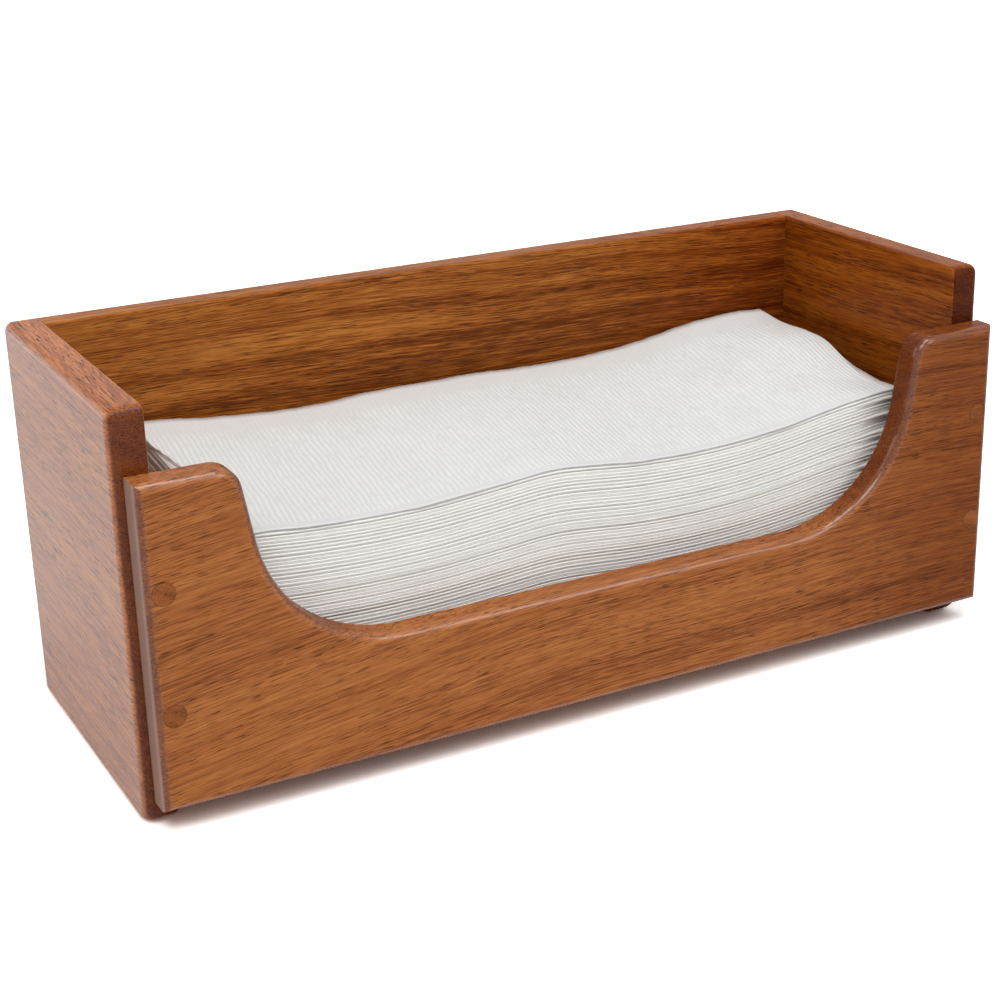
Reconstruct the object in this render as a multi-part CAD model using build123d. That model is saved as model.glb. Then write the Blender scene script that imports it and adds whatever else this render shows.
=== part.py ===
from build123d import *
from math import radians, tan
import os

# An open-fronted teak tray for folded paper napkins.  Millimetres, +Z up.  The origin is on
# the table, under the middle of the tray; -Y is the scooped front, +Y the back.

# ---- driving dimensions ----
WIDTH = 287.0            # over the outer faces of the two side panels
HEIGHT = 121.8           # table to the top of the sides and the back
SIDE_DEPTH = 102.7       # front to back length of a side panel
BOARD = 10.3             # thickness of the sides and the back
FRONT_BOARD = 9.0        # thickness of the front board
ROUND = 3.0              # radius worked on the outer arrises
EASE = 0.8               # radius sanded on the inner arrises
TOE_ROUND = 8.0          # radius of the sides' lower front corners, under the front board

FRONT_LEFT = -140.4      # ends of the front board, which stops 3.1 mm inside the left side's
FRONT_RIGHT = 143.2      # outer face and 0.3 mm inside the right side's
FRONT_FOOT = 8.3         # table to the lower edge of the front board
FRONT_TOP = 103.6        # table to the top of the front board's ears
SCOOP_FLOOR = 45.7       # table to the bottom of the scoop
SCOOP_HALF = 112.6       # half the width between the ears, at their tops
SCOOP_SLANT = 10.0       # degrees that the ears' sides lean back from upright
SCOOP_ARC = 43.0         # radius of the scoop's lower corners
EAR_ARC = 7.5            # radius of the ears' upper corners
SCOOP_SHIFT = 0.7        # the scoop sits this far right of the middle

PANEL = 5.0              # thickness of the bottom panel
PANEL_UNDER = 12.0       # table to the underside of the bottom panel
GROOVE = 4.5             # depth of the grooves that hold the bottom panel

PLUG_R = 3.2             # wood plugs over the screw heads
PLUG_DEEP = 4.0
LEFT_PLUG_IN = 8.3       # side's outer face to the left pair of plugs
RIGHT_PLUG_IN = 5.15     # side's outer face to the right pair of plugs
LEFT_PLUGS_Z = {"upper": 72.6, "lower": 37.1}
RIGHT_PLUGS_Z = {"upper": 75.0, "lower": 38.3}

SCREW_LONG = 25.0
SCREW_HEAD_R = 2.8
SCREW_CONE = 1.7         # height of the countersunk head
SCREW_SHANK = 8.0        # head's top to the first thread
SCREW_SHANK_R = 1.25
SCREW_CORE_R = 0.9
THREAD_PITCH = 1.25
THREADS = 11
HOLE_SLACK = 0.05        # radial room round the screws
RECESS_SPAN = 3.0        # cross recess in a screw's head
RECESS_WIDE = 0.7
RECESS_DEEP = 1.1

DOWEL_R = 3.0
DOWEL_LONG = 25.0
DOWEL_IN_SIDE = 6.0      # the rest of the dowel is in the back panel's end
DOWEL_CHAMFER = 0.6
DOWELS_Z = (28.0, 62.0, 99.0)

NAPKINS = 56             # folded napkins under the top one
NAPKIN_DEEP = 84.0       # a 252 mm sheet folded in three
NAPKIN_LEFT = -111.0     # left end of the pile
NAPKIN_RIGHT = 122.5     # right end of the pile, for towels 233.5 mm long
TOP_NAPKIN_THICK = 1.2
CLEAR = 0.3              # room between pieces that lift apart
# height of the pile's top above the table, at even steps from its left end to its right end
PILE_TOP = (82.6, 79.8, 78.6, 80.0, 80.4, 79.1, 78.5, 80.7, 84.7, 85.3)

# ---- worked out from them ----
FRONT_Y = -(SIDE_DEPTH + FRONT_BOARD) / 2    # face of the front board
SIDE_FRONT = FRONT_Y + FRONT_BOARD           # where the front board meets the sides
BACK_Y = SIDE_FRONT + SIDE_DEPTH             # outer face of the back panel
BACK_IN = BACK_Y - BOARD                     # inner face of the back panel
INNER = WIDTH / 2 - BOARD                    # half the room between the sides
FLOOR_Z = PANEL_UNDER + PANEL
SCREW_TOP = FRONT_Y + PLUG_DEEP              # the plugs' inner ends and the screws' heads
SCREW_CREST_R = SCREW_SHANK_R
SCREWS = {
    "upper_left": (LEFT_PLUG_IN - WIDTH / 2, LEFT_PLUGS_Z["upper"]),
    "lower_left": (LEFT_PLUG_IN - WIDTH / 2, LEFT_PLUGS_Z["lower"]),
    "upper_right": (WIDTH / 2 - RIGHT_PLUG_IN, RIGHT_PLUGS_Z["upper"]),
    "lower_right": (WIDTH / 2 - RIGHT_PLUG_IN, RIGHT_PLUGS_Z["lower"]),
}
TINY = 1e-3


def block(x0, x1, y0, y1, z0, z1):
    """Box between two corners."""
    size = Box(x1 - x0, y1 - y0, z1 - z0, align=(Align.MIN, Align.MIN, Align.MIN))
    return Pos(x0, y0, z0) * size


def bore(x, z, radius, y0, y1):
    """Cylinder along Y, from y0 to y1."""
    hole = Cylinder(radius, y1 - y0, align=(Align.CENTER, Align.CENTER, Align.MIN))
    return Pos(x, y0, z) * Rot(-90, 0, 0) * hole


def in_plane(edge, axis, place):
    """Whether an edge lies wholly in the plane square to an axis at a place."""
    box = edge.bounding_box()
    low, high = getattr(box.min, axis), getattr(box.max, axis)
    return abs(low - place) < TINY and abs(high - place) < TINY


def carcass():
    """Both sides and the back as one rounded blank, before it is parted into boards."""
    half = WIDTH / 2
    blank = block(-half, half, SIDE_FRONT, BACK_Y, 0, HEIGHT)
    blank -= block(-INNER, INNER, SIDE_FRONT - 1, BACK_IN, -1, HEIGHT + 1)
    toes = [e for e in blank.edges() if in_plane(e, "Y", SIDE_FRONT) and in_plane(e, "Z", 0)]
    blank = fillet(toes, TOE_ROUND)
    outer = [
        e for e in blank.edges()
        if in_plane(e, "X", -half) or in_plane(e, "X", half) or in_plane(e, "Y", BACK_Y)
        or (in_plane(e, "Y", SIDE_FRONT) and in_plane(e, "Z", HEIGHT))
    ]
    blank = fillet(outer, ROUND)
    inner = [
        e for e in blank.edges()
        if (in_plane(e, "X", -INNER) or in_plane(e, "X", INNER)) != in_plane(e, "Y", BACK_IN)
    ]
    return fillet(inner, EASE)


def bottom_panel():
    """The floor of the tray, let into grooves all round."""
    reach = INNER + GROOVE
    return block(-reach, reach, SIDE_FRONT - GROOVE, BACK_IN + GROOVE, PANEL_UNDER, FLOOR_Z)


def front_blank():
    """The scooped front board, rounded on its face, with no holes yet."""
    floor_half = SCOOP_HALF - (FRONT_TOP - SCOOP_FLOOR) * tan(radians(SCOOP_SLANT))
    corners = [
        (FRONT_LEFT, FRONT_FOOT), (FRONT_RIGHT, FRONT_FOOT), (FRONT_RIGHT, FRONT_TOP),
        (SCOOP_SHIFT + SCOOP_HALF, FRONT_TOP), (SCOOP_SHIFT + floor_half, SCOOP_FLOOR),
        (SCOOP_SHIFT - floor_half, SCOOP_FLOOR), (SCOOP_SHIFT - SCOOP_HALF, FRONT_TOP),
        (FRONT_LEFT, FRONT_TOP),
    ]
    face = make_face(Polyline(*corners, close=True))
    ears = [v for v in face.vertices() if abs(v.X) < SCOOP_HALF + 1 and v.Y > FRONT_TOP - 1]
    face = fillet(ears, EAR_ARC)
    lower = [v for v in face.vertices() if abs(v.Y - SCOOP_FLOOR) < TINY]
    face = fillet(lower, SCOOP_ARC)
    board = extrude(Plane.XZ.offset(-SIDE_FRONT) * face, FRONT_BOARD)
    board = fillet([e for e in board.edges() if in_plane(e, "Y", FRONT_Y)], ROUND)
    back = [
        e for e in board.edges()
        if in_plane(e, "Y", SIDE_FRONT) and e.center().Z > FRONT_FOOT + 1
        and FRONT_LEFT + 1 < e.center().X < FRONT_RIGHT - 1
    ]
    return fillet(back, EASE)


def screw(x, z):
    """Countersunk wood screw that points to the back, its thread as ridges on the core."""
    outline = [(0, 0), (SCREW_HEAD_R, 0), (SCREW_SHANK_R, SCREW_CONE), (SCREW_SHANK_R, SCREW_SHANK)]
    for turn in range(THREADS):
        root = SCREW_SHANK + turn * THREAD_PITCH
        outline += [(SCREW_CORE_R, root + THREAD_PITCH / 4), (SCREW_CREST_R, root + THREAD_PITCH)]
    outline += [(SCREW_CORE_R, SCREW_SHANK + (THREADS + 0.5) * THREAD_PITCH), (0, SCREW_LONG)]
    body = revolve(make_face(Polyline(*outline, close=True)), Axis.Y)
    for long_x, long_z in ((RECESS_SPAN, RECESS_WIDE), (RECESS_WIDE, RECESS_SPAN)):
        body -= block(-long_x / 2, long_x / 2, -1, RECESS_DEEP, -long_z / 2, long_z / 2)
    return Pos(x, SCREW_TOP, z) * body


def screw_room(x, z):
    """What a screw and its plug take out of the boards: counterbore, head and pilot hole."""
    room = bore(x, z, PLUG_R, FRONT_Y - 1, SCREW_TOP)
    head = Cone(
        SCREW_HEAD_R + HOLE_SLACK, SCREW_SHANK_R + HOLE_SLACK, SCREW_CONE,
        align=(Align.CENTER, Align.CENTER, Align.MIN),
    )
    room += Pos(x, SCREW_TOP, z) * Rot(-90, 0, 0) * head
    return room + bore(x, z, SCREW_SHANK_R + HOLE_SLACK, SCREW_TOP, SCREW_TOP + SCREW_LONG + 1)


def plug(x, z, board):
    """Wood plug over a screw, cut flush with the board's rounded face."""
    return bore(x, z, PLUG_R, FRONT_Y, SCREW_TOP) & board


def dowel(side, z):
    """Dowel across a back joint; side is -1 for the left end and 1 for the right."""
    pin = chamfer(Cylinder(DOWEL_R, DOWEL_LONG).edges(), DOWEL_CHAMFER)
    middle = side * (INNER + DOWEL_IN_SIDE - DOWEL_LONG / 2)
    return Pos(middle, BACK_Y - BOARD / 2, z) * Rot(0, 90, 0) * pin


def layer_line(share, lift):
    """Line along the pile's length, at a share of its height, raised by lift."""
    step = (NAPKIN_RIGHT - NAPKIN_LEFT) / (len(PILE_TOP) - 1)
    low = FLOOR_Z + CLEAR
    return Spline(*[
        (NAPKIN_LEFT + i * step, -NAPKIN_DEEP / 2, low + share * (top - low) + lift)
        for i, top in enumerate(PILE_TOP)
    ])


def napkin(under, over):
    """A folded napkin between two lines along its front edge."""
    ends = [Line(under @ 0, over @ 0), Line(under @ 1, over @ 1)]
    return extrude(make_face([under, over, *ends]), NAPKIN_DEEP, dir=(0, 1, 0))


def pile():
    """All the napkins under the top one, each a solid of its own."""
    lines = [layer_line(i / NAPKINS, 0) for i in range(NAPKINS + 1)]
    return [napkin(lines[i], lines[i + 1]) for i in range(NAPKINS)]


def group(pieces):
    """Separate solids that share a node."""
    return Compound(children=[s for piece in pieces for s in piece.solids()])


def parts():
    """Every node of the tray by name."""
    u_shape = carcass()
    floor = bottom_panel()
    front = front_blank()
    screws = [screw_room(x, z) for x, z in SCREWS.values()]
    dowels = [dowel(side, z) for side in (-1, 1) for z in DOWELS_Z]
    half = WIDTH / 2

    left = u_shape & block(-half, -INNER, SIDE_FRONT, BACK_Y, 0, HEIGHT)
    right = u_shape & block(INNER, half, SIDE_FRONT, BACK_Y, 0, HEIGHT)
    back = u_shape & block(-INNER, INNER, BACK_IN, BACK_Y, 0, HEIGHT)
    board = front - floor
    left, right, back = (piece - floor - dowels for piece in (left, right, back))
    left, right, board = (piece - screws for piece in (left, right, board))

    made = {
        "left_side_panel": left,
        "right_side_panel": right,
        "back_panel": back,
        "front_panel": board,
        "bottom_panel": floor,
        "front_screws": group([screw(x, z) for x, z in SCREWS.values()]),
        "back_dowels": group(dowels),
        "napkin_stack": group(pile()),
        "top_napkin": napkin(layer_line(1, CLEAR), layer_line(1, CLEAR + TOP_NAPKIN_THICK)),
    }
    for name, (x, z) in SCREWS.items():
        made["plug_" + name] = plug(x, z, front)
    return made


os.makedirs("parts", exist_ok=True)
for node, shape in parts().items():
    export_step(shape, f"parts/{node}.step")
    print(node, round(shape.volume))
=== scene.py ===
"""Looks for an open-fronted teak tray of folded paper napkins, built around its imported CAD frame.

Everything is in metres, +Z up. The origin is on the table under the middle of the tray, -Y is the
scooped front and +Y the back. The boards, plugs, screws and dowels are the CAD nodes with better
materials. The napkins are folded sheets that stand for the plain CAD slabs.
"""

import logging
import math
from dataclasses import dataclass, field, replace
from enum import Enum
from typing import Callable, ClassVar, Mapping, Sequence, Union

import bpy
import numpy as np
from mathutils import Matrix, Vector


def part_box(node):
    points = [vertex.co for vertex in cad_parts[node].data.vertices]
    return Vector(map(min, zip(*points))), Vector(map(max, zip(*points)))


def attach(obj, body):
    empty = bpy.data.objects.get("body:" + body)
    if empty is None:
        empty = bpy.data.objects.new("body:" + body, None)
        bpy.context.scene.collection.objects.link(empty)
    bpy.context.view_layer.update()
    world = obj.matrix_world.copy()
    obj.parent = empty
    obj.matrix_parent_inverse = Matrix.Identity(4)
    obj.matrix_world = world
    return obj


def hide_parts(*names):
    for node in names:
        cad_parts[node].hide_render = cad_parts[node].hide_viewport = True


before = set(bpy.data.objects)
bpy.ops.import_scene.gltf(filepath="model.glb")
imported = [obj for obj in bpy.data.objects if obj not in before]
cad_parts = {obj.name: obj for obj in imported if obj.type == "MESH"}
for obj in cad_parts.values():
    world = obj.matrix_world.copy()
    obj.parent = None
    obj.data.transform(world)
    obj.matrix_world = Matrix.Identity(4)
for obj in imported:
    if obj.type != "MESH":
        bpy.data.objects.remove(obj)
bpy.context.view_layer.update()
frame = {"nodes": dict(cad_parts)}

LOG = logging.getLogger("napkin_tray")
MM = 0.001
CREASE_SHADE = "crease_shade"  # the point attribute that holds a paper's painted shade at its folds, ends and cut edges

RGB = tuple[float, float, float]
Span = tuple[float, float]
Counts = tuple[float, float, float]
Value = Union[float, Sequence[float], "Sock"]


class Sock:
    """A shader socket that gives a number and takes part in Python arithmetic."""

    def __init__(self, maker: "Shader", socket: bpy.types.NodeSocket | None) -> None:
        """Wraps an output socket.

        Args:
            maker: The shader that the socket belongs to.
            socket: The output socket, or None for a node that has none.
        """
        self.maker = maker
        self.socket = socket

    def _math(self, operation: str, *values: Value) -> "Sock":
        """A Math node on some values, in order."""
        inputs = dict(enumerate(values))
        return self.maker.node("ShaderNodeMath", {"operation": operation}, inputs)

    def __add__(self, other: Value) -> "Sock":
        """This value plus another."""
        return self._math("ADD", self, other)

    def __radd__(self, other: Value) -> "Sock":
        """Another value plus this one."""
        return self._math("ADD", other, self)

    def __sub__(self, other: Value) -> "Sock":
        """This value less another."""
        return self._math("SUBTRACT", self, other)

    def __rsub__(self, other: Value) -> "Sock":
        """Another value less this one."""
        return self._math("SUBTRACT", other, self)

    def __mul__(self, other: Value) -> "Sock":
        """This value times another."""
        return self._math("MULTIPLY", self, other)

    def __rmul__(self, other: Value) -> "Sock":
        """Another value times this one."""
        return self._math("MULTIPLY", other, self)

    def __truediv__(self, other: Value) -> "Sock":
        """This value over another."""
        return self._math("DIVIDE", self, other)

    def __pow__(self, other: Value) -> "Sock":
        """This value to a power."""
        return self._math("POWER", self, other)

    def larger(self, other: Value) -> "Sock":
        """The larger of this value and another."""
        return self._math("MAXIMUM", self, other)

    def sine(self) -> "Sock":
        """The sine of this value, in radians."""
        return self._math("SINE", self)

    def root(self) -> "Sock":
        """The square root of this value."""
        return self._math("SQRT", self)

    def size(self) -> "Sock":
        """This value without its sign."""
        return self._math("ABSOLUTE", self)

    def between(self, low: float, high: float) -> "Sock":
        """A smooth step of this value, 0 at or below low and 1 at or above high."""
        settings = {"interpolation_type": "SMOOTHSTEP"}
        inputs = {"Value": self, "From Min": low, "From Max": high}
        return self.maker.node("ShaderNodeMapRange", settings, inputs)


class Blend(Enum):
    """How one colour goes over another, as a Mix node names it."""

    OVER = "MIX"
    TIMES = "MULTIPLY"


class Shader:
    """The node tree of one material, or of the world."""

    def __init__(self, name: str, world: bool = False) -> None:
        """Makes an empty material or world.

        Args:
            name: Its name.
            world: Whether it is a world.
        """
        kinds = bpy.data.worlds if world else bpy.data.materials
        self.owner = kinds.new(name)
        self.owner.use_nodes = True
        self.tree = self.owner.node_tree
        self.tree.nodes.clear()
        self.ending = "ShaderNodeOutputWorld" if world else "ShaderNodeOutputMaterial"

    def node(
        self,
        kind: str,
        settings: Mapping[str, object] | None = None,
        inputs: Mapping[str | int, Value] | None = None,
        out: str | int = 0,
    ) -> Sock:
        """Adds a node.

        Args:
            kind: The node's type name.
            settings: Its settings, which are set first. "stops" holds a ramp's places and colours.
            inputs: Values or links of its sockets, by name or number.
            out: The name or number of the output that is wanted.

        Returns:
            The wanted output.
        """
        made = self.tree.nodes.new(kind)
        for key, value in (settings or {}).items():
            if key == "stops":
                self._set_stops(made.color_ramp, value)
            else:
                setattr(made, key, value)
        for key, value in (inputs or {}).items():
            if isinstance(value, Sock):
                self.tree.links.new(value.socket, made.inputs[key])
            else:
                made.inputs[key].default_value = value
        return Sock(self, made.outputs[out] if len(made.outputs) else None)

    @staticmethod
    def _set_stops(ramp: bpy.types.ColorRamp, stops: Sequence[tuple[float, RGB]]) -> None:
        """Sets the stops of a ramp, which starts with two.

        Args:
            ramp: The ramp.
            stops: Their places, from 0 to 1, and their colours.
        """
        while len(ramp.elements) < len(stops):
            ramp.elements.new(1.0)
        for element, (place, colour) in zip(ramp.elements, stops):
            element.position = place
            element.color = (*colour, 1.0)

    def _parts(self, output: str) -> tuple[Sock, Sock, Sock]:
        """The three numbers of one of the Texture Coordinate node's outputs."""
        where = self.node("ShaderNodeTexCoord", out=output)
        split = self.node("ShaderNodeSeparateXYZ", inputs={0: where}).socket.node
        return tuple(Sock(self, split.outputs[i]) for i in range(3))

    def place(self) -> tuple[Sock, Sock, Sock]:
        """X, Y and Z of the surface in the tray's frame, in metres."""
        return self._parts("Object")

    def facing(self) -> tuple[Sock, Sock, Sock]:
        """X, Y and Z of the surface's normal in the tray's frame."""
        return self._parts("Normal")

    def vector(self, x: Value, y: Value, z: Value) -> Sock:
        """A vector from three numbers."""
        return self.node("ShaderNodeCombineXYZ", inputs={0: x, 1: y, 2: z})

    def noise(self, at: Sock, detail: float = 2.0, roughness: float = 0.5) -> Sock:
        """Noise with features of one unit of the vector it is given."""
        inputs = {"Vector": at, "Scale": 1.0, "Detail": detail, "Roughness": roughness}
        return self.node("ShaderNodeTexNoise", {"noise_dimensions": "3D"}, inputs)

    def speckle(self, at: Sequence[Sock], counts: Sequence[float], detail: float) -> Sock:
        """Noise with a number of features per metre along each of a place's three numbers."""
        scaled = (value * count for value, count in zip(at, counts))
        return self.noise(self.vector(*scaled), detail)

    def mix(self, share: Value, first: Value, second: Value, blend: Blend = Blend.OVER) -> Sock:
        """A mix of two colours.

        Args:
            share: How much of the second colour there is, 0 to 1.
            first: The first colour.
            second: The second colour.
            blend: How they mix.

        Returns:
            The mixed colour.
        """
        settings = {"data_type": "RGBA", "blend_type": blend.value}
        inputs = {
            0: share,
            6: first if isinstance(first, Sock) else (*first, 1.0),
            7: second if isinstance(second, Sock) else (*second, 1.0),
        }
        return self.node("ShaderNodeMix", settings, inputs, out=2)

    def bump(self, height: Sock, depth: float) -> Sock:
        """A normal from a height of 0 to 1, where 1 stands out by depth metres."""
        inputs = {"Strength": 1.0, "Distance": depth, "Height": height}
        return self.node("ShaderNodeBump", inputs=inputs, out="Normal")

    def rays(self) -> tuple[Sock, Sock]:
        """Tells the kinds of rays apart.

        Returns:
            Whether a ray is the camera's, and whether it is one of gloss or glass, 1 or 0.
        """
        camera = self.node("ShaderNodeLightPath", out="Is Camera Ray")
        outputs = camera.socket.node.outputs
        gloss, glass = (Sock(self, outputs[f"Is {kind} Ray"]) for kind in ("Glossy", "Transmission"))
        return camera, gloss.larger(glass)

    def finish(self, surface: Sock) -> bpy.types.ID:
        """Sends a surface to the output and returns the material or world."""
        self.node(self.ending, inputs={"Surface": surface})
        return self.owner

    def principled(self, values: Mapping[str, Value]) -> bpy.types.Material:
        """Ends the material in a Principled surface with these socket values."""
        return self.finish(self.node("ShaderNodeBsdfPrincipled", inputs=values))


class Grain(Enum):
    """Which of the tray's axes a board's grain follows, across and through it."""

    LENGTH_UPRIGHT = (0, 2, 1)
    DEPTH_UPRIGHT = (1, 2, 0)
    LENGTH_FLAT = (0, 1, 2)


@dataclass(frozen=True)
class Figure:
    """One layer of the wood's figure, noise that is drawn out along the grain.

    The counts are features per metre along the grain, across it and through the board. A board's
    seed shifts the noise in one of those directions: 0 along, 1 across or 2 through.
    """

    along: float
    across: float
    through: float
    detail: float
    roughness: float = 0.5
    seeded: int = 1
    weight: float = 0.0

    def on(self, s: Shader, seed: float, at: Sequence[Sock]) -> Sock:
        """The layer's value from 0 to 1.

        Args:
            s: The board's shader.
            seed: The board's seed.
            at: The place along the grain, across it and through the board, in metres.

        Returns:
            The value.
        """
        counts = (self.along, self.across, self.through)
        scaled = [value * count for value, count in zip(at, counts)]
        scaled[self.seeded] = scaled[self.seeded] + seed
        return s.noise(s.vector(*scaled), self.detail, self.roughness)


@dataclass(frozen=True)
class Teak:
    """Satin oiled teak: growth bands, fine fibre and short dark pores along the grain."""

    # The layers of the figure: the drift that bends the bands, the bands and lines, and the pores.
    DRIFT: ClassVar[Figure] = Figure(6.0, 10.0, 8.0, 1.0, seeded=0)
    BROAD: ClassVar[Figure] = Figure(3.0, 55.0, 25.0, 3.0, weight=0.9)
    BANDS: ClassVar[Figure] = Figure(4.0, 230.0, 60.0, 4.0, 0.6, seeded=0, weight=1.1)
    STREAK: ClassVar[Figure] = Figure(26.0, 1100.0, 500.0, 4.0, 0.68, weight=0.5)
    FIBRE: ClassVar[Figure] = Figure(90.0, 3200.0, 1600.0, 2.0, 0.6, weight=0.95)
    DASH: ClassVar[Figure] = Figure(160.0, 3300.0, 2400.0, 1.0, seeded=0)
    PATCH: ClassVar[Figure] = Figure(14.0, 160.0, 40.0, 2.0, seeded=2)
    # How the growth rings lean through the board, and what counts as dark, middle, light and pore.
    RING_SLOPE: ClassVar[float] = 0.35
    TONES: ClassVar[tuple[float, ...]] = (0.24, 0.50, 0.78)
    PORE_DASH: ClassVar[Span] = (0.59, 0.67)
    PORE_PATCH: ClassVar[Span] = (0.28, 0.58)
    PORE_DEPTH: ClassVar[float] = 0.06 * MM
    # How far a surface has turned from its board's face or end, where the end colour, the painted sheen
    # or a coat starts and is full.
    END_TURN: ClassVar[float] = 0.35
    SHEEN_TURN: ClassVar[Span] = (0.80, 0.97)
    SIDE_TURN: ClassVar[Span] = (0.5, 0.9)
    ARRIS_FROM: ClassVar[Span] = (0.05, 0.35)
    ARRIS_TO: ClassVar[Span] = (0.90, 0.995)
    # How far from the tray's middle the front board's ends and the sides' outer faces start.
    BOARD_END: ClassVar[Span] = (137.5 * MM, 138.5 * MM)
    SIDE_FACE: ClassVar[Span] = (133.4 * MM, 134.4 * MM)

    name: str
    grain: Grain
    seed: float
    dark: RGB
    middle: RGB
    light: RGB
    pore: RGB = (0.050, 0.015, 0.005)
    end: RGB = (0.50, 0.43, 0.42)
    end_from: float = 0.45
    rise: float = 0.0
    curve: float = 0.0
    bend: float = 5.0 * MM
    bands: float = 1.0
    streaks: float = 1.0
    pores: float = 0.55
    gloss: float = 0.42
    specular: float = 0.15
    coat: float = 0.30
    outer_coat: float = 0.0
    arris_coat: float = 0.0
    # A painted sheen, a pale grey reflection painted on the outermost end faces: its share and its
    # colour.
    end_sheen: float = 0.0
    painted_sheen: RGB = (0.36, 0.245, 0.205)

    def figure(self, s: Shader, place: Sequence[Sock]) -> tuple[Sock, Sock, Sock, Sock]:
        """The wood's figure.

        Args:
            s: The shader.
            place: The surface's place in the tray's frame.

        Returns:
            The tone, about 0.24 in the darkest and 0.78 in the lightest wood, and the streaks, the
            fibre and the pores, each from 0 to 1.
        """
        along, across, deep = (place[i] for i in self.grain.value)
        drift = self.DRIFT.on(s, self.seed, (along, across, deep))
        lift = along * self.rise + along * along * self.curve
        ring = across - lift + deep * self.RING_SLOPE + (drift - 0.5) * (2 * self.bend)
        layers = (self.BROAD, self.BANDS, self.STREAK, self.FIBRE, self.DASH, self.PATCH)
        values = [layer.on(s, self.seed, (along, ring, deep)) for layer in layers]
        broad, bands, streak, fibre, dash, patch = values
        pore = dash.between(*self.PORE_DASH) * patch.between(*self.PORE_PATCH)
        tone = ((broad - 0.5) * (self.BROAD.weight * self.bands)
                + (bands - 0.5) * (self.BANDS.weight * self.bands)
                + (streak - 0.5) * (self.STREAK.weight * self.streaks)
                + (fibre - 0.5) * (self.FIBRE.weight * self.streaks) + 0.5)
        return tone, streak, fibre, pore

    def varnish(self, place: Sequence[Sock], facing: Sequence[Sock]) -> Value:
        """How much the oil shines: more on a side board's outer face, or on a board's arrises.

        Args:
            place: The surface's place in the tray's frame.
            facing: The surface's normal in the tray's frame.

        Returns:
            The weight of the coat.
        """
        if self.outer_coat:
            outer = place[0].size().between(*self.SIDE_FACE) * facing[0].size().between(*self.SIDE_TURN)
            return outer * (self.outer_coat - self.coat) + self.coat
        if self.arris_coat:
            flat = facing[self.grain.value[2]].size()
            arris = flat.between(*self.ARRIS_FROM) * (1.0 - flat.between(*self.ARRIS_TO))
            return arris * self.arris_coat + self.coat
        return self.coat

    def build(self, tint: Callable[[Shader, Sock, Sequence[Sock]], Sock] | None = None
              ) -> bpy.types.Material:
        """Makes the material.

        Args:
            tint: What changes the colour from place to place on one board, if anything does.

        Returns:
            The material.
        """
        s = Shader(self.name)
        place, facing = s.place(), s.facing()
        tone, streak, fibre, pore = self.figure(s, place)
        stops = list(zip(self.TONES, (self.dark, self.middle, self.light)))
        colour = s.node("ShaderNodeValToRGB", {"stops": stops}, {"Fac": tone}, out="Color")
        colour = s.mix(pore * self.pores, colour, self.pore)
        if tint:
            colour = tint(s, colour, place)
        along = self.grain.value[0]
        cut = facing[along].size()
        ends = cut.between(self.end_from, self.end_from + self.END_TURN)
        colour = s.mix(ends, colour, s.mix(1.0, colour, self.end, Blend.TIMES))
        # Painted sheen: a pale grey reflection painted onto the board's outermost end faces.
        if self.end_sheen:
            outermost = place[along].size().between(*self.BOARD_END)
            colour = s.mix(cut.between(*self.SHEEN_TURN) * outermost * self.end_sheen, colour, self.painted_sheen)
        relief = streak * 0.25 + fibre * 0.25 - pore * 0.9 + 0.6
        return s.principled({
            "Base Color": colour,
            "Roughness": (fibre - 0.5) * 0.12 + pore * 0.2 + ends * 0.06 + self.gloss,
            "Specular IOR Level": self.specular,
            "Coat Weight": self.varnish(place, facing),
            "Coat Roughness": 0.12,
            "Normal": s.bump(relief, self.PORE_DEPTH),
        })


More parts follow.
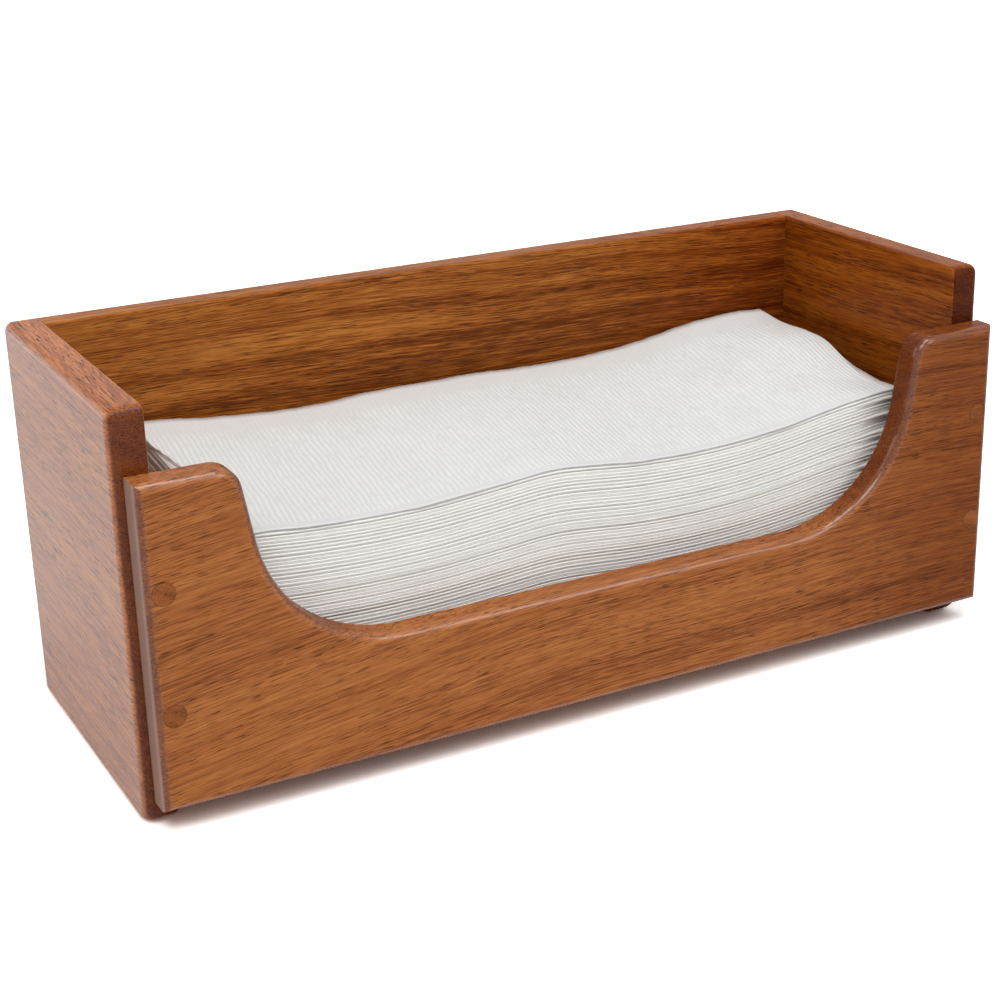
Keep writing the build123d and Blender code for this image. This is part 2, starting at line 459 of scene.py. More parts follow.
@dataclass(frozen=True)
class Tissue:
    """Soft white tissue paper with fine fibres and ribs pressed into it, and painted shade in the ribs'
    furrows and at its folds, ends and cut edges.
    """

    SWAY: ClassVar[Counts] = (70.0, 50.0, 20.0)
    SHAKE: ClassVar[Counts] = (260.0, 130.0, 60.0)
    BREAKS: ClassVar[Counts] = (330.0, 160.0, 100.0)
    CLOUD: ClassVar[Counts] = (60.0, 60.0, 300.0)
    FLUFF: ClassVar[Counts] = (900.0, 900.0, 900.0)

    name: str
    colour: RGB = (0.850, 0.860, 0.853)
    shade: RGB = (0.820, 0.828, 0.815)
    # The colour of painted shade in the furrows between the pressed ribs.
    furrow_shade: RGB = (0.64, 0.635, 0.620)
    # The colour of painted shade in the paper's folds, gaps, ends and cut edges.
    crease_shade: RGB = (0.55, 0.515, 0.440)
    ribs: float = 1.0
    depth: float = 0.30 * MM
    rib_pitch: float = 1.7 * MM
    lean: float = 0.105
    ribs_front: Span = (-40.5 * MM, -37.5 * MM)
    ribs_back: Span = (26.0 * MM, 32.0 * MM)

    def rib(self, s: Shader, place: Sequence[Sock]) -> Sock:
        """The pressed ribs, which run from front to back and waver.

        Args:
            s: The shader.
            place: The surface's place in the tray's frame.

        Returns:
            Their height from 0 to 1.
        """
        x, y, _ = place
        sway = s.speckle(place, self.SWAY, 1.0)
        shake = s.speckle(place, self.SHAKE, 1.0)
        warp = (sway - 0.5) * 1.3 + (shake - 0.5) * 0.45
        wave = (((x - y * self.lean) / self.rib_pitch + warp) * (2 * math.pi)).sine() * 0.5 + 0.5
        whole = s.speckle(place, self.BREAKS, 2.0).between(0.26, 0.46)
        fade = y.between(*self.ribs_front) * (1.0 - y.between(*self.ribs_back) * 0.8)
        return wave * whole * fade

    def build(self) -> bpy.types.Material:
        """Makes the material.

        Returns:
            The material.
        """
        s = Shader(self.name)
        place = s.place()
        cloud = s.speckle(place, self.CLOUD, 3.0)
        colour = s.mix(cloud.between(0.35, 0.7), self.colour, self.shade)
        height = s.speckle(place, self.FLUFF, 1.0) * 0.30
        if self.ribs:
            rib = self.rib(s, place)
            # Painted shade: the furrows between the ribs are darkened.
            colour = s.mix((1.0 - rib) * 0.55 * self.ribs, colour, self.furrow_shade)
            height = rib * (0.7 * self.ribs) + height
        # Painted shade at the folds, gaps, ends and cut edges, read from the sheet's shade attribute.
        creases = s.node("ShaderNodeAttribute", {"attribute_name": CREASE_SHADE}, out="Fac")
        colour = s.mix(creases, colour, self.crease_shade)
        return s.principled({
            "Base Color": colour,
            "Roughness": 0.92,
            "Specular IOR Level": 0.25,
            "Normal": s.bump(height, self.depth),
        })


@dataclass(frozen=True)
class ZincSteel:
    """Zinc-plated steel of the screws, lathe lines round their shanks."""

    LATHE: ClassVar[Counts] = (200.0, 9000.0, 200.0)
    BLOTCH: ClassVar[Counts] = (700.0, 700.0, 700.0)

    name: str
    colour: RGB = (0.60, 0.59, 0.56)
    stain: RGB = (0.50, 0.48, 0.42)
    line_depth: float = 0.02 * MM

    def build(self) -> bpy.types.Material:
        """Makes the material.

        Returns:
            The material.
        """
        s = Shader(self.name)
        place = s.place()
        lines = s.speckle(place, self.LATHE, 2.0)
        return s.principled({
            "Base Color": s.mix(s.speckle(place, self.BLOTCH, 3.0), self.colour, self.stain),
            "Metallic": 1.0,
            "Roughness": lines * 0.2 + 0.25,
            "Normal": s.bump(lines, self.line_depth),
        })


def mesh_object(name: str, points: np.ndarray, faces: Sequence[Sequence[int]],
                material: bpy.types.Material, creases: np.ndarray | None = None
                ) -> bpy.types.Object:
    """Makes a smooth mesh object.

    Args:
        name: The object's name.
        points: Its vertices, one row each, in metres.
        faces: Its faces, as vertex numbers.
        material: What it is made of.
        creases: How far each vertex lies in painted shade at a fold, end or cut edge, if it is paper.

    Returns:
        The object, linked into the scene.
    """
    mesh = bpy.data.meshes.new(name)
    mesh.from_pydata(points, [], faces)
    mesh.validate()
    mesh.shade_smooth()
    if creases is not None:
        mesh.attributes.new(CREASE_SHADE, "FLOAT", "POINT").data.foreach_set("value", creases)
    mesh.materials.append(material)
    made = bpy.data.objects.new(name, mesh)
    bpy.context.scene.collection.objects.link(made)
    return made


def ease(value: np.ndarray | float, low: float, high: float) -> np.ndarray:
    """A smooth step, 0 at or below low and 1 at or above high."""
    t = np.clip((np.asarray(value, float) - low) / (high - low), 0, 1)
    return t * t * (3 - 2 * t)


@dataclass(frozen=True)
class Waver:
    """Smooth random values over a plane, the same on each run."""

    CELLS: ClassVar[int] = 256
    SHIFT: ClassVar[float] = 512.0

    seed: int
    cell_x: float
    cell_y: float = 1.0

    def at(self, x: np.ndarray, y: np.ndarray | float = 0.0) -> np.ndarray:
        """The values at some points.

        Args:
            x: Where the points are in the first direction, in metres.
            y: Where they are in the second direction, in metres.

        Returns:
            A value from -1 to 1 for each.
        """
        n = self.CELLS
        x, y = np.broadcast_arrays(np.asarray(x, float), np.asarray(y, float))
        grid = np.random.default_rng(self.seed).uniform(-1, 1, (n, n))
        u, v = x / self.cell_x + self.SHIFT, y / self.cell_y + self.SHIFT
        i, j = np.floor(u).astype(int), np.floor(v).astype(int)
        a, b = ease(u - i, 0.0, 1.0), ease(v - j, 0.0, 1.0)
        low = grid[i % n, j % n] * (1 - a) + grid[(i + 1) % n, j % n] * a
        high = grid[i % n, (j + 1) % n] * (1 - a) + grid[(i + 1) % n, (j + 1) % n] * a
        return low * (1 - b) + high * b


@dataclass(frozen=True)
class PileShape:
    """The waves of the pile of napkins: how high each layer lies at each place.

    The rises are millimetres over the even height, at places along the tray and, for the wave of
    the right end, at shares of the depth from front to back.
    """

    floor: float = 17.3 * MM
    front: float = -42.0 * MM
    back: float = 42.0 * MM
    even: float = 80.0 * MM
    places: tuple[float, ...] = (
        -0.125, -0.105, -0.090, -0.070, -0.050, -0.030, -0.011, 0.003, 0.018, 0.037, 0.055, 0.075,
        0.090, 0.102, 0.113, 0.125,
    )
    front_rise: tuple[float, ...] = (
        0.3, -0.5, -2.0, -3.0, -2.9, -1.4, 0.3, -1.1, -2.9, -3.6, -3.1, -1.0, 1.5, 2.9, 3.6, 3.2,
    )
    back_rise: tuple[float, ...] = (
        8.0, 7.8, 5.6, 3.9, 3.2, 4.9, 4.5, 4.9, 4.2, 3.7, 4.2, 6.6, 9.2, 10.4, 10.9, 9.6,
    )
    depths: tuple[float, ...] = (0.0, 0.12, 0.25, 0.38, 0.55, 0.70, 0.85, 1.0)
    right_wave: tuple[float, ...] = (0.0, -1.6, -2.8, -1.5, 1.5, 0.6, -1.5, 0.0)
    right_part: Span = (85.0 * MM, 122.0 * MM)
    beyond: float = 0.05
    depth_steps: tuple[float, ...] = (-0.05, 0.0, 0.05)
    length_steps: tuple[float, ...] = (-6.0 * MM, -3.0 * MM, 0.0, 3.0 * MM, 6.0 * MM)
    settling: float = 2.2

    def rise(self, x: np.ndarray, y: np.ndarray) -> np.ndarray:
        """How far the pile's top stands over its even height.

        Args:
            x: Places along the tray, in metres.
            y: Places from front to back, in metres.

        Returns:
            The rise at each place, in metres.
        """
        curve = [np.interp(x, self.places, values) for values in (self.front_rise, self.back_rise)]
        t = np.clip((y - self.front) / (self.back - self.front), -self.beyond, 1 + self.beyond)
        waves = (np.interp(t + step, self.depths, self.right_wave) for step in self.depth_steps)
        wave = sum(waves) / len(self.depth_steps) * ease(x, *self.right_part)
        return (curve[0] * (1 - t) + curve[1] * t + wave) * MM

    def height(self, x: np.ndarray, y: np.ndarray, share: float) -> np.ndarray:
        """How high a layer of the pile lies. The waves fade towards the tray's floor.

        Args:
            x: Places along the tray, in metres.
            y: Places from front to back, in metres.
            share: Which layer, 0 at the tray's floor and 1 at the top.

        Returns:
            The layer's height at each place, in metres.
        """
        smooth = sum(self.rise(x + step, y) for step in self.length_steps) / len(self.length_steps)
        level = self.floor + share * (self.even - self.floor)
        return level + smooth * (1 - (1 - share) ** self.settling)


@dataclass(frozen=True)
class EdgeLine:
    """The line of a paper's edge, which starts at a place and moves over in smooth steps.

    A step is how far the line moves, and from where and to where along the edge it does.
    """

    start: float
    steps: tuple[tuple[float, float, float], ...] = ()

    def at(self, along: np.ndarray) -> np.ndarray:
        """Where the line is at some places along the edge."""
        line = self.start + 0.0 * along
        for move, low, high in self.steps:
            line = line + move * ease(along, low, high)
        return line


@dataclass
class FoldedSheet:
    """One paper sheet folded in three, as a closed skin round its three plies."""

    lower: Callable[[np.ndarray, np.ndarray], np.ndarray]
    upper: Callable[[np.ndarray, np.ndarray], np.ndarray]
    left: Callable[[np.ndarray], np.ndarray]
    right: Callable[[np.ndarray], np.ndarray]
    front: Callable[[np.ndarray], np.ndarray]
    back: Callable[[np.ndarray], np.ndarray]
    stations: int = 64
    rows: int = 6
    top_rows: int = 6
    split: float = 0.03
    curl: float = 0.16 * MM
    tuck: float = 0.0
    overhang: float = 0.0
    rim: float = 1.0 * MM
    # Painted shade: how much the front fold's upper half, the ends and the bottom ply's cut edge get,
    # and where round a fold it fades.
    top_fold_shade: float = 1.0
    end_shade: float = 0.7
    cut_edge_shade: float = 0.2
    fold_shade_turn: Span = (0.05, 0.5)
    inner_reach: float = 0.3
    fold_steps: tuple[float, ...] = (0.0, 30.0, 60.0, 90.0, 120.0, 150.0, 180.0)

    def ribbon(self) -> np.ndarray:
        """The section along the paper, from the top ply's cut edge to the bottom ply's.

        The top and middle plies meet in a fold at the front, and the middle and bottom plies in a
        fold at the back.

        Returns:
            For each step, both faces of the paper, each as its share of the way from front to
            back, the metres it stands off that, its share of the thickness and how far it lies in
            the painted shade of a fold or cut edge.
        """
        ply = (1 - 2 * self.split) / 3
        low, under, over, high = ply, ply + self.split, 2 * ply + self.split, 1 - ply
        rim = self.rim / (self.back(np.zeros(1)) - self.front(np.zeros(1))).item()
        top = [1 - i / self.top_rows for i in range(self.top_rows)] + [rim]
        inner = [rim, *(i / self.rows for i in range(1, self.rows)), 1 - rim]
        path = [((v, self.overhang * (v == 1), 1.0, 0.0), (v, self.overhang * (v == 1), high, 0.0))
                for v in top]
        path += self._fold(0.0, (1.0, under), (high, over))
        path += [((v, 0.0, under, 0.0), (v, 0.0, over, 0.0)) for v in inner]
        path += self._fold(1.0, (under, low), (over, 0.0))
        path += [((v, 0.0, low, 0.0), (v, 0.0, 0.0, 0.0)) for v in reversed(inner)]
        shade = self.cut_edge_shade
        return np.array(path + [((0.0, self.tuck, low, shade), (0.0, self.tuck, 0.0, shade))])

    def _fold(self, end: float, first: tuple[float, float], second: tuple[float, float]
              ) -> list[tuple[tuple[float, float, float, float], ...]]:
        """A round fold of the paper.

        Args:
            end: 0 at the front and 1 at the back.
            first: The levels that the first face turns between.
            second: The levels that the second face turns between.

        Returns:
            Steps round the fold, as ribbon() gives them.
        """
        inward = 1 if end == 0 else -1
        turn = []
        for degrees in self.fold_steps:
            a = math.radians(degrees)
            faces = []
            # Painted shade: full where the fold meets the flat plies, none at its outer middle.
            crease_shade = 1.0 - float(ease(math.sin(a), *self.fold_shade_turn))
            if end == 0 and degrees < 90:
                crease_shade *= self.top_fold_shade
            for start, stop in (first, second):
                reach = self.curl * (1.0 if abs(start - stop) > 0.5 else self.inner_reach)
                level = (start + stop) / 2 + (start - stop) / 2 * math.cos(a)
                faces.append((end, inward * (self.curl - reach * math.sin(a)), level, crease_shade))
            turn.append(tuple(faces))
        return turn

    def mesh(self) -> tuple[np.ndarray, np.ndarray, np.ndarray]:
        """Makes the paper's closed skin.

        Returns:
            Its points, one row each in metres, its four-sided faces as point numbers, and how far
            each point lies in painted shade at a fold, end or cut edge.
        """
        ribbon = self.ribbon()
        steps = len(ribbon)
        section = np.concatenate([ribbon[:, 0], ribbon[::-1, 1]])
        count = len(section)
        share, extra, level = (section[None, :, k] for k in range(3))
        u = np.linspace(0, 1, self.stations)[:, None]
        x = self.left(share) * (1 - u) + self.right(share) * u
        y = self.front(x) * (1 - share) + self.back(x) * share + extra
        z = self.lower(x, y) * (1 - level) + self.upper(x, y) * level
        points = np.stack([x, y, z], axis=-1).reshape(-1, 3)
        ring = np.arange(count)
        around = np.stack([ring, np.roll(ring, -1), np.roll(ring, -1) + count, ring + count], axis=1)
        starts = np.arange(self.stations - 1)[:, None, None] * count
        skin = (around[None] + starts).reshape(-1, 4)
        near = np.arange(steps - 1)
        cap = np.stack([near, count - 1 - near, count - 2 - near, near + 1], axis=1)
        far = cap[:, ::-1] + (self.stations - 1) * count
        # Painted shade at each point, with at least end_shade at the left and right ends.
        creases = np.tile(section[:, 3], (self.stations, 1))
        creases[[0, -1]] = np.maximum(creases[[0, -1]], self.end_shade)
        return points, np.concatenate([skin, cap, far]), creases.ravel()


@dataclass
class NapkinPile:
    """The folded napkins under the top one, in a few bundles.

    Each napkin draws its own value from each of the spans in millimetres, and loose holds the
    millimetres of slack under the few napkins that lie loosely.
    """

    shape: PileShape
    paper: bpy.types.Material
    count: int = 56
    bundles: int = 4
    left: float = -111.0 * MM
    right: float = 122.0 * MM
    flat: tuple[float, float] = (233.5 * MM, 252.0 * MM)
    seed: int = 7
    uneven: float = 0.14
    rests: Span = (0.01, 0.07)
    flares: Span = (0.0, 0.45)
    front_offs: Span = (-0.05, 0.05)
    back_offs: Span = (-0.5, 0.5)
    left_offs: Span = (-0.25, 0.25)
    right_offs: Span = (-1.6, 1.0)
    recedes: Span = (0.3, 4.0)
    tucks: Span = (0.04, 0.26)
    fanned_right: float = 0.022
    fanned_left: float = 0.012
    left_flare: float = 0.3
    right_corner: float = 0.026
    wander_cell: float = 0.035
    edge_cell: float = 0.028
    front_waver: float = 0.06 * MM
    back_waver: float = 0.3 * MM
    loose: Mapping[int, float] = field(default_factory=lambda: {
        24: 0.15, 30: 0.35, 31: 0.15, 38: 0.35, 44: 0.12, 49: 0.15, 55: 0.25,
    })
    shares: list[float] = field(init=False)

    def __post_init__(self) -> None:
        """Shares the pile's height out among the napkins, the top one included."""
        rng = np.random.default_rng(self.seed)
        weights = 1 + rng.uniform(-self.uneven, self.uneven, self.count + 1)
        self.shares = [0.0, *np.cumsum(weights / weights.sum())]

    def napkin(self, number: int) -> FoldedSheet:
        """One napkin of the pile.

        Args:
            number: Which one, counted from 0 at the bottom.

        Returns:
            The folded napkin.
        """
        rng = np.random.default_rng(self.seed * 1000 + number)
        low, high = self.shares[number], self.shares[number + 1]
        rest = rng.uniform(*self.rests) * MM
        slack = self.loose.get(number, 0.0) * MM
        flare = rng.uniform(*self.flares) * MM
        wander = Waver(int(rng.integers(1, 10**6)), self.wander_cell)
        edge = Waver(int(rng.integers(1, 10**6)), self.edge_cell)
        offs = (self.front_offs, self.back_offs, self.left_offs, self.right_offs)
        front_off, back_off, left_off, right_off = (rng.uniform(*span) * MM for span in offs)
        recede = rng.uniform(*self.recedes) * MM

        def lower(x: np.ndarray, y: np.ndarray) -> np.ndarray:
            """The napkin's underside."""
            ends = ease(x, self.right - self.fanned_right, self.right)
            ends = ends + self.left_flare * ease(-x, -self.left - self.fanned_left, -self.left)
            gap = rest + slack * (0.6 + 0.4 * wander.at(x)) + flare * ends
            return self.shape.height(x, y, low) + gap

        def upper(x: np.ndarray, y: np.ndarray) -> np.ndarray:
            """The napkin's top."""
            return self.shape.height(x, y, high)

        def front(x: np.ndarray) -> np.ndarray:
            """The line of its front edge."""
            back_away = recede * ease(x, self.right - self.right_corner, self.right + 2 * MM)
            return self.shape.front + front_off + self.front_waver * edge.at(x) + back_away

        def back(x: np.ndarray) -> np.ndarray:
            """The line of its back edge."""
            return self.shape.back + back_off + self.back_waver * edge.at(x, 0.5)

        return FoldedSheet(
            lower, upper, EdgeLine(self.left + left_off).at, EdgeLine(self.right + right_off).at,
            front, back, tuck=rng.uniform(*self.tucks) * MM,
            top_fold_shade=float(number < self.count - 1),
        )

    def build(self) -> list[bpy.types.Object]:
        """Makes the bundles and stands them for the plain slabs.

        Returns:
            The bundles, from the bottom up.
        """
        made = []
        size = self.count // self.bundles
        for start in range(0, self.count, size):
            points, faces, creases = [], [], []
            used = 0
            for number in range(start, start + size):
                at, quads, shade = self.napkin(number).mesh()
                points.append(at)
                creases.append(shade)
                faces.append(quads + used)
                used += len(at)
            name = f"napkins_{start + 1:02d}_to_{start + size:02d}"
            bundle = mesh_object(name, np.concatenate(points), np.concatenate(faces), self.paper,
                                 np.concatenate(creases))
            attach(bundle, "napkin_stack")
            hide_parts("napkin_stack")
            self.flat[1] * size
            made.append(bundle)
        return made


@dataclass
class TopNapkin:
    """The napkin on top of the pile, whose ends are a little askew and whose edges waver."""

    pile: NapkinPile
    paper: bpy.types.Material
    stations: int = 240
    top_rows: int = 30
    rows: int = 5
    gap: float = 0.18 * MM
    left: EdgeLine = EdgeLine(-108.5 * MM, ((-3.0 * MM, 0.55, 0.85),))
    right: EdgeLine = EdgeLine(
        115.5 * MM, ((5.8 * MM, 0.0, 0.6), (0.8 * MM, 0.6, 0.8), (-1.2 * MM, 0.8, 1.0)),
    )
    front_lip: float = 0.2 * MM
    corner_back: float = 1.5 * MM
    corner: Span = (100.0 * MM, 118.0 * MM)
    torn: Waver = Waver(41, 1.6 * MM)
    sway: Waver = Waver(42, 9.0 * MM)
    soft: Waver = Waver(43, 22.0 * MM, 18.0 * MM)
    fine: Waver = Waver(44, 3.2 * MM, 3.0 * MM)
    torn_depth: float = 0.25 * MM
    sway_depth: float = 0.35 * MM
    soft_height: float = 0.20 * MM
    fine_height: float = 0.03 * MM

    def lower(self, x: np.ndarray, y: np.ndarray) -> np.ndarray:
        """The napkin's underside."""
        return self.pile.shape.height(x, y, self.pile.shares[self.pile.count]) + self.gap

    def upper(self, x: np.ndarray, y: np.ndarray) -> np.ndarray:
        """The napkin's top, a little uneven."""
        uneven = self.soft_height * self.soft.at(x, y) + self.fine_height * self.fine.at(x, y)
        return self.pile.shape.height(x, y, 1.0) + uneven

    def front(self, x: np.ndarray) -> np.ndarray:
        """The line of its front fold, which draws back at the right corner."""
        line = self.pile.shape.front - self.front_lip + self.sway_depth * self.sway.at(x, 3.0)
        return line + self.corner_back * ease(x, *self.corner)

    def back(self, x: np.ndarray) -> np.ndarray:
        """The line of its torn back edge."""
        line = self.pile.shape.back + self.torn_depth * self.torn.at(x)
        return line + self.sway_depth * self.sway.at(x)

    def build(self) -> bpy.types.Object:
        """Makes the top napkin and stands it for its plain slab.

        Returns:
            The napkin.
        """
        sheet = FoldedSheet(
            self.lower, self.upper, self.left.at, self.right.at, self.front, self.back,
            stations=self.stations, top_rows=self.top_rows, rows=self.rows,
            curl=0.5 * MM, tuck=0.3 * MM, overhang=0.5 * MM, top_fold_shade=0.0, end_shade=0.0,
        )
        points, faces, creases = sheet.mesh()
        made = mesh_object("top_napkin_sheet", points, faces, self.paper, creases)
        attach(made, "top_napkin")
        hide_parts("top_napkin")
        return made


@dataclass
class Tray:
    """The wooden tray: its boards, plugs, screws and dowels, which are the CAD nodes."""

    nodes: Mapping[str, bpy.types.Object]
    plugs: tuple[str, ...] = (
        "plug_upper_left", "plug_lower_left", "plug_upper_right", "plug_lower_right",
    )
    plug_radius: float = 3.2 * MM
    glue_line: Span = (0.08 * MM, 0.32 * MM)
    glue: RGB = (0.05, 0.018, 0.010)
    # The colour of the painted shade towards the front board's right end.
    front_right_shade: RGB = (0.62, 0.50, 0.36)

    @staticmethod
    def wear(node: bpy.types.Object, material: bpy.types.Material) -> bpy.types.Object:
        """Gives a CAD node its material.

        Args:
            node: The node's object.
            material: What it is made of.

        Returns:
            The same object.
        """
        if not node.material_slots:
            node.data.materials.append(material)
        for slot in node.material_slots:
            slot.material = material
        return node

    def glue_lines_and_shade(self, s: Shader, colour: Sock, place: Sequence[Sock]) -> Sock:
        """Paints shade on the front board, darker and redder to the right, with a dark glue line round
        each plug.

        Args:
            s: The board's shader.
            colour: The wood's colour.
            place: The surface's place in the tray's frame.

        Returns:
            The changed colour.
        """
        x, _, z = place
        # Painted shade: the front board darkens and reddens towards its right end.
        colour = s.mix(x.between(60 * MM, 135 * MM), colour, self.front_right_shade, Blend.TIMES)
        for name in self.plugs:
            low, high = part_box(name)
            centre = (low + high) / 2
            away = ((x - centre.x) ** 2.0 + (z - centre.z) ** 2.0).root()
            line = 1 - (away - self.plug_radius).size().between(*self.glue_line)
            colour = s.mix(line * 0.65, colour, self.glue)
        return colour

    @staticmethod
    def back_right_shade(s: Shader, colour: Sock, place: Sequence[Sock]) -> Sock:
        """Paints shade on the back panel, darker and redder to the right."""
        redder = (0.84, 0.64, 0.46)
        # Painted shade towards the right end of the back panel.
        return s.mix(place[0].between(30 * MM, 130 * MM), colour, redder, Blend.TIMES)

    def build(self) -> list[bpy.types.Object]:
        """Dresses every board and fastener.

        Returns:
            Their objects.
        """
        left = Teak("teak_side", Grain.DEPTH_UPRIGHT, 3.1, (0.220, 0.050, 0.008), (0.420, 0.112, 0.017),
                    (0.56, 0.195, 0.042), end=(0.34, 0.24, 0.12), rise=0.02, bands=0.6, streaks=1.6,
                    pores=1.0, specular=0.2, coat=0.12, outer_coat=0.78)
        # The right side is a darker copy of the left side's teak: painted shade for the shadowed inside
        # of the tray.
        right = replace(left, name="teak_side_right_shaded", seed=8.6, dark=(0.090, 0.017, 0.001),
                        middle=(0.255, 0.056, 0.003), light=(0.38, 0.108, 0.010), rise=-0.03, bands=0.9,
                        streaks=1.2, specular=0.08, coat=0.06)
        back = Teak("teak_back", Grain.LENGTH_UPRIGHT, 11.7, (0.120, 0.027, 0.003),
                    (0.295, 0.084, 0.012), (0.48, 0.172, 0.032), rise=-0.015, curve=-0.06,
                    bend=7.0 * MM, bands=0.8, streaks=1.35, pores=0.8, specular=0.06, coat=0.05)
        # The front board's ends get a painted sheen, a pale grey reflection.
        front = Teak("teak_front", Grain.LENGTH_UPRIGHT, 23.4, (0.180, 0.049, 0.013),
                     (0.372, 0.120, 0.033), (0.51, 0.190, 0.051), end=(0.62, 0.52, 0.50), rise=0.075,
                     curve=-0.30, bands=0.38, streaks=1.15, pores=0.8, specular=0.04,
                     coat=0.12, arris_coat=0.65, end_from=0.25, end_sheen=0.65)
        bottom = Teak("teak_bottom", Grain.LENGTH_FLAT, 37.9, (0.15, 0.045, 0.012), (0.29, 0.095, 0.028),
                      (0.40, 0.150, 0.050), gloss=0.55, coat=0.0)
        plug = Teak("plug_wood", Grain.DEPTH_UPRIGHT, 51.3, (0.150, 0.042, 0.012), (0.275, 0.082, 0.022),
                    (0.36, 0.120, 0.033), end=(1.0, 1.0, 1.0), rise=0.4, specular=0.04, coat=0.12)
        beech = Teak("dowel_beech", Grain.LENGTH_UPRIGHT, 60.2, (0.50, 0.33, 0.18), (0.62, 0.44, 0.26),
                     (0.70, 0.52, 0.33), pore=(0.40, 0.24, 0.13), gloss=0.6, coat=0.0)
        plugs = plug.build()
        worn = {
            "left_side_panel": left.build(),
            "right_side_panel": right.build(),
            "back_panel": back.build(self.back_right_shade),
            "front_panel": front.build(self.glue_lines_and_shade),
            "bottom_panel": bottom.build(),
            "front_screws": ZincSteel("zinc_steel").build(),
            "back_dowels": beech.build(),
            **{name: plugs for name in self.plugs},
        }
        return [self.wear(self.nodes[name], material) for name, material in worn.items()]


@dataclass(frozen=True)
class Softbox:
    """A square lamp that faces a point on the tray."""

    name: str
    azimuth: float
    elevation: float
    distance: float
    size: float
    radiance: float
    aim: tuple[float, float, float] = (0.0, 0.0, 0.06)

    def build(self) -> bpy.types.Object:
        """Makes the lamp. Azimuth 0 is the tray's front and 90 its right.

        Returns:
            The lamp's object.
        """
        a, e = math.radians(self.azimuth), math.radians(self.elevation)
        away = Vector((math.sin(a) * math.cos(e), -math.cos(a) * math.cos(e), math.sin(e)))
        data = bpy.data.lights.new(self.name, "AREA")
        data.shape, data.size = "SQUARE", self.size
        data.energy = self.radiance * math.pi * self.size**2
        made = bpy.data.objects.new(self.name, data)
        made.location = Vector(self.aim) + away * self.distance
        made.rotation_euler = away.to_track_quat("Z", "Y").to_euler()
        made.visible_camera = False
        bpy.context.scene.collection.objects.link(made)
        return made


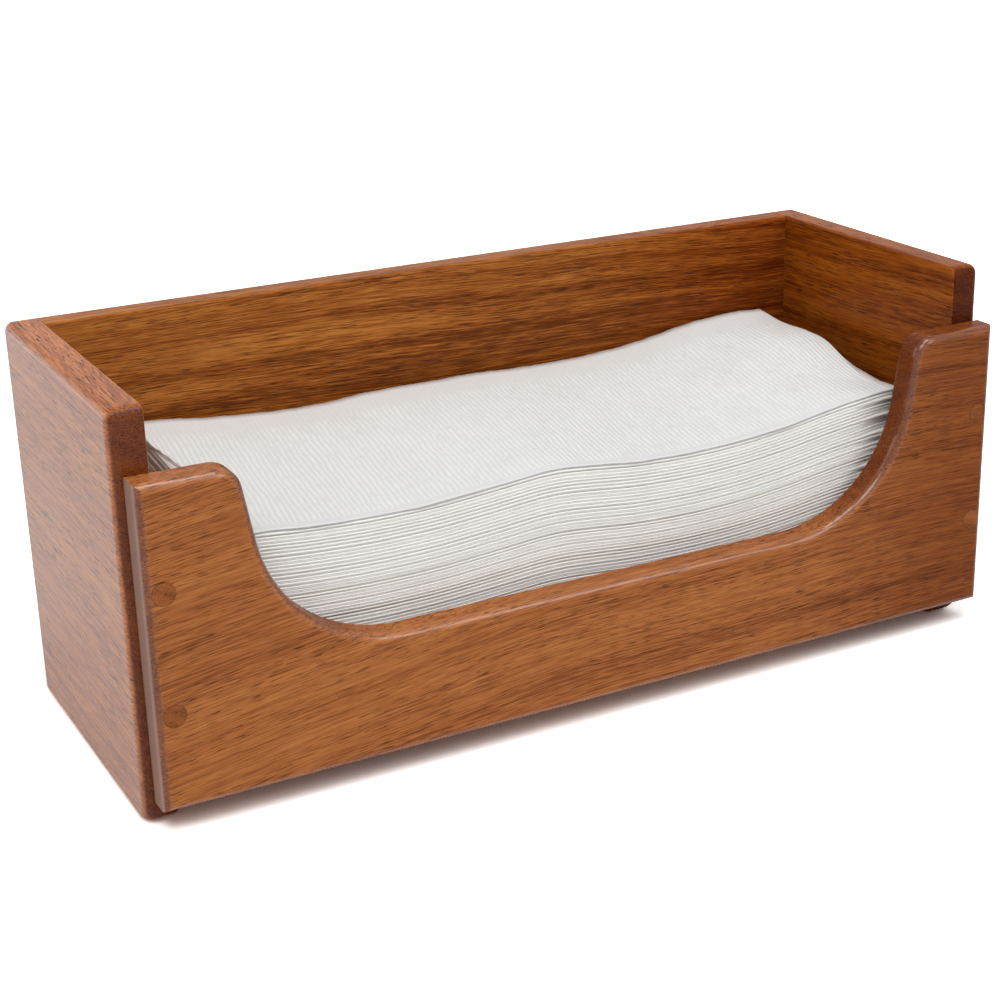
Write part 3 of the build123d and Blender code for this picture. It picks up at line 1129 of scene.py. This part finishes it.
@dataclass
class Studio:
    """White floor and surroundings, soft lamps, and the camera at the photo's view."""

    lamps: tuple[Softbox, ...] = (
        Softbox("overhead", 8.0, 72.0, 1.1, 0.45, 6.2),
        Softbox("front_left", -35.0, 52.0, 1.3, 0.50, 7.0),
        Softbox("front_right", 32.0, 42.0, 1.4, 0.55, 4.0),
        Softbox("front_fill", -12.0, 24.0, 1.6, 1.1, 0.4),
        Softbox("left_wall", -112.0, 25.0, 1.5, 1.2, 1.3),
    )
    ambient: float = 0.20
    floor_radius: float = 4.0
    floor_sides: int = 64
    floor_rings: tuple[float, ...] = (0.1, 0.3, 1.0)
    white_far: Span = (0.35, 1.1)
    floor_gain: float = 1.2
    gloss_gain: float = 0.12
    camera_at: tuple[float, float, float] = (-0.271554, -0.518209, 0.274377)
    azimuth: float = -28.7561
    elevation: float = 20.5719
    roll: float = -1.0105
    focal_pixels: float = 1959.094
    centre_pixels: tuple[float, float] = (555.971, 498.126)
    frame_pixels: float = 1000.0
    sensor: float = 36.0

    def floor(self) -> bpy.types.Object:
        """Makes the pale floor, a wide disc that takes the tray's soft shadow.

        Returns:
            The floor's object.
        """
        s = Shader("pale_floor")
        x, y, z = s.place()
        normal = s.bump(s.speckle((x, y, z), (900.0, 900.0, 1.0), 2.0), 0.01 * MM)
        paper = s.node("ShaderNodeBsdfPrincipled", inputs={
            "Base Color": (0.88, 0.88, 0.88, 1.0), "Roughness": 0.8, "Specular IOR Level": 0.1,
            "Normal": normal,
        })
        camera, gloss = s.rays()
        gain = camera * self.floor_gain + gloss * self.gloss_gain
        white = s.node("ShaderNodeBsdfDiffuse", inputs={
            "Color": s.vector(gain, gain, gain), "Normal": normal,
        })
        far = (x * x + y * y).root().between(*self.white_far)
        glow = s.node("ShaderNodeEmission", inputs={"Strength": camera.larger(gloss) * far})
        lit = s.node("ShaderNodeAddShader", inputs={0: paper, 1: white})
        material = s.finish(s.node("ShaderNodeAddShader", inputs={0: lit, 1: glow}))
        n = self.floor_sides
        turns = np.linspace(0, 2 * math.pi, n, endpoint=False)
        rings = [r * self.floor_radius for r in self.floor_rings]
        points = [(r * math.cos(t), r * math.sin(t), 0.0) for r in rings for t in turns]
        faces = [list(range(n))]
        for inner in range(0, n * (len(rings) - 1), n):
            outer = inner + n
            faces += [[inner + i, outer + i, outer + (i + 1) % n, inner + (i + 1) % n] for i in range(n)]
        made = mesh_object("floor", np.array(points), faces, material)
        return made

    def surroundings(self) -> bpy.types.World:
        """Makes the world, white to the camera and in gloss, and a dim grey light to the rest.

        Returns:
            The world.
        """
        s = Shader("studio_air", world=True)
        camera, gloss = s.rays()
        strength = camera.larger(gloss) * (1.0 - self.ambient) + self.ambient
        white = {"Color": (1, 1, 1, 1), "Strength": strength}
        world = s.finish(s.node("ShaderNodeBackground", inputs=white))
        bpy.context.scene.world = world
        return world

    def camera(self) -> bpy.types.Object:
        """Makes the camera and gives it to the scene.

        Returns:
            The camera's object.
        """
        a, e, r = (math.radians(v) for v in (self.azimuth, self.elevation, self.roll))
        back = Vector((math.sin(a) * math.cos(e), -math.cos(a) * math.cos(e), math.sin(e)))
        right = Vector((math.cos(a), math.sin(a), 0.0))
        up = back.cross(right)
        right, up = (right * math.cos(r) + up * math.sin(r), up * math.cos(r) - right * math.sin(r))
        data = bpy.data.cameras.new("photo_view")
        data.sensor_width = self.sensor
        data.lens = self.focal_pixels * self.sensor / self.frame_pixels
        data.shift_x = 0.5 - self.centre_pixels[0] / self.frame_pixels
        data.shift_y = self.centre_pixels[1] / self.frame_pixels - 0.5
        data.clip_start, data.clip_end = 0.01, 50.0
        made = bpy.data.objects.new("photo_view", data)
        made.matrix_world = Matrix((right, up, back)).transposed().to_4x4()
        made.location = self.camera_at
        bpy.context.scene.collection.objects.link(made)
        bpy.context.scene.camera = made
        return made

    def build(self) -> None:
        """Makes the whole studio."""
        bpy.context.scene.view_settings.view_transform = "Standard"
        self.camera()
        self.floor()
        self.surroundings()
        for lamp in self.lamps:
            lamp.build()


def main() -> None:
    """Builds the studio, the tray and the napkins, and reports each piece."""
    logging.basicConfig(level=logging.INFO, format="%(name)s: %(message)s")
    Studio().build()
    shape = PileShape()
    # The pile's paper is a brighter copy of the top napkin's: painted light on the pile's front, which
    # the lamps light less.
    plain = Tissue("stack_tissue_painted_light", (0.925, 0.93, 0.91), (0.90, 0.90, 0.875), ribs=0.0, depth=0.02 * MM)
    pile = NapkinPile(shape, plain.build())
    top = TopNapkin(pile, Tissue("top_tissue").build())
    pieces = [*Tray(frame["nodes"]).build(), *pile.build(), top.build()]
    for piece in pieces:
        LOG.info("%s: %d faces", piece.name, len(piece.data.polygons))


if __name__ == "__main__":
    main()
